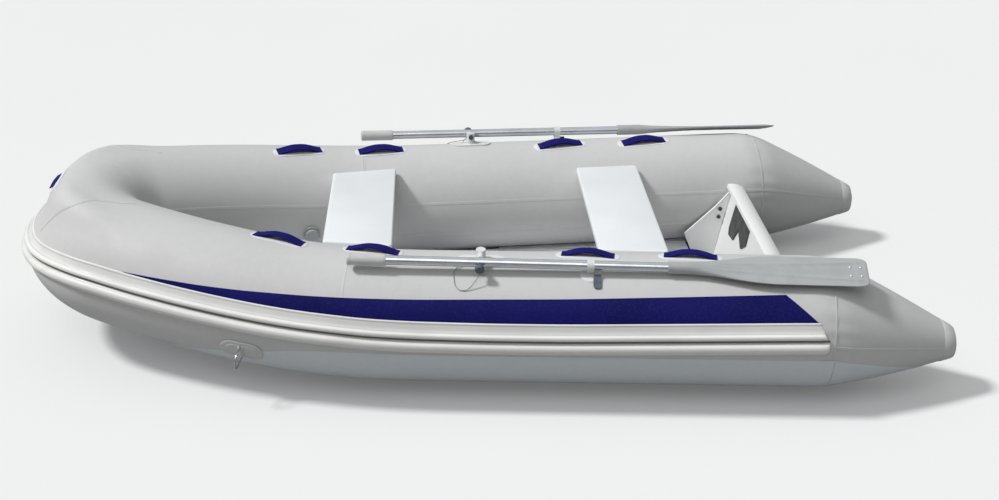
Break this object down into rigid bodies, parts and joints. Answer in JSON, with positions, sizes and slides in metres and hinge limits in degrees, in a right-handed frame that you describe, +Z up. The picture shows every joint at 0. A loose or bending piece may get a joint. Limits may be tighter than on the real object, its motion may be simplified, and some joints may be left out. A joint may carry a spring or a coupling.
{
  "type": "inflatable dinghy",
  "caption": "Inflatable dinghy with splayed tubes, raised bow, solid transom, bench seats, floor boards, lifting straps and oars stowed on swivel rowlocks.",
  "frame": {"origin": "the point of the keel line on which the boat rests, on its centre line", "axes": "+X to the bow, +Y to port, +Z up"},
  "size_m": [3.0848, 1.6186, 0.5694],
  "materials": {
    "hull_fabric": "satin",
    "trim_fabric": "satin",
    "stripe_paint": "satin",
    "strake_rubber": "satin",
    "bottom_fabric": "satin",
    "marine_ply": "satin",
    "seat_board": "satin",
    "transom_paint": "satin",
    "dark_plastic": "matte",
    "grey_plastic": "satin",
    "pale_plastic": "satin",
    "webbing": "matte",
    "oar_alloy": "satin",
    "rail_alloy": "satin",
    "ring_steel": "polished",
    "cord": "matte"
  },
  "bodies": {
    "hull": {"port_tube": "hull_fabric", "starboard_tube": "hull_fabric", "bow_tube": "hull_fabric", "port_cone": "hull_fabric", "starboard_cone": "hull_fabric", "port_cone_cap": "pale_plastic", "starboard_cone_cap": "pale_plastic", "baffles": "hull_fabric", "rub_strake": "strake_rubber", "port_stripe": "stripe_paint", "starboard_stripe": "stripe_paint", "bottom_lap": "bottom_fabric", "bottom_sheet": "bottom_fabric", "keel_tube": "bottom_fabric", "floor_aft": "marine_ply", "floor_middle": "marine_ply", "floor_front": "marine_ply", "floor_bow": "marine_ply", "stringers": "rail_alloy", "front_seat": "seat_board", "rear_seat": "seat_board", "front_seat_chocks": "pale_plastic", "rear_seat_chocks": "pale_plastic", "transom_board": "transom_paint", "transom_cap": "transom_paint", "inner_motor_pad": "dark_plastic", "outer_motor_pad": "dark_plastic", "port_knee": "transom_paint", "starboard_knee": "transom_paint", "knee_bolts": "dark_plastic", "drain_plug": "dark_plastic", "port_handles": "webbing", "starboard_handles": "webbing", "bow_handle": "webbing", "handle_pads": "trim_fabric", "port_rowlock_base": "pale_plastic", "starboard_rowlock_base": "pale_plastic", "holder_pads": "trim_fabric", "port_holder_strap": "trim_fabric", "starboard_holder_strap": "trim_fabric", "ring_patches": "hull_fabric", "valve_bodies": "grey_plastic"},
    "port_rowlock": {"port_swivel": "pale_plastic", "port_pin": "dark_plastic", "port_lanyard": "cord"},
    "starboard_rowlock": {"starboard_swivel": "pale_plastic", "starboard_pin": "dark_plastic", "starboard_lanyard": "cord"},
    "port_oar": {"port_shaft": "oar_alloy", "port_grip": "pale_plastic", "port_blade": "grey_plastic"},
    "starboard_oar": {"starboard_shaft": "oar_alloy", "starboard_grip": "pale_plastic", "starboard_blade": "grey_plastic"},
    "port_tow_ring": {"port_ring": "ring_steel"},
    "starboard_tow_ring": {"starboard_ring": "ring_steel"},
    "port_cap": {"port_valve_cap": "grey_plastic"},
    "starboard_cap": {"starboard_valve_cap": "grey_plastic"},
    "bow_cap": {"bow_valve_cap": "grey_plastic"}
  },
  "joints": [
    {"name": "port_oar_swing", "type": "hinge", "parent": "hull", "child": "port_rowlock", "pos_m": [-0.03196, 0.53162, 0.4532], "axis": [0.0097, 0.1302, 0.9914], "range_deg": [-120, 0], "deforming": ["port_lanyard", "port_holder_strap"]},
    {"name": "starboard_oar_swing", "type": "hinge", "parent": "hull", "child": "starboard_rowlock", "pos_m": [-0.03196, -0.53162, 0.4532], "axis": [0.0097, -0.1302, 0.9914], "range_deg": [0, 120], "deforming": ["starboard_lanyard", "starboard_holder_strap"]},
    {"name": "port_oar_tilt", "type": "hinge", "parent": "port_rowlock", "child": "port_oar", "pos_m": [-0.03167, 0.53553, 0.48295], "axis": [0.0736, 0.9887, -0.1305], "range_deg": [0, 2.5]},
    {"name": "starboard_oar_tilt", "type": "hinge", "parent": "starboard_rowlock", "child": "starboard_oar", "pos_m": [-0.03167, -0.53553, 0.48295], "axis": [-0.0736, 0.9887, 0.1305], "range_deg": [0, 2.5]},
    {"name": "port_ring_swing", "type": "hinge", "parent": "hull", "child": "port_tow_ring", "pos_m": [0.72617, 0.60799, 0.18579], "axis": [0.011, -0.4332, -0.9012], "range_deg": [-80, 80]},
    {"name": "starboard_ring_swing", "type": "hinge", "parent": "hull", "child": "starboard_tow_ring", "pos_m": [0.72617, -0.60799, 0.18579], "axis": [-0.011, -0.4332, 0.9012], "range_deg": [-80, 80]},
    {"name": "port_cap_turn", "type": "hinge", "parent": "hull", "child": "port_cap", "pos_m": [-0.55076, 0.33001, 0.22644], "axis": [-0.074, -0.9934, -0.0872], "range_deg": [0, 90]},
    {"name": "starboard_cap_turn", "type": "hinge", "parent": "hull", "child": "starboard_cap", "pos_m": [-0.55076, -0.33001, 0.22644], "axis": [-0.074, 0.9934, -0.0872], "range_deg": [-90, 0]},
    {"name": "bow_cap_turn", "type": "hinge", "parent": "hull", "child": "bow_cap", "pos_m": [0.56189, -0.22886, 0.22173], "axis": [-0.1813, 0.9593, -0.2163], "range_deg": [-90, 0]}
  ]
}
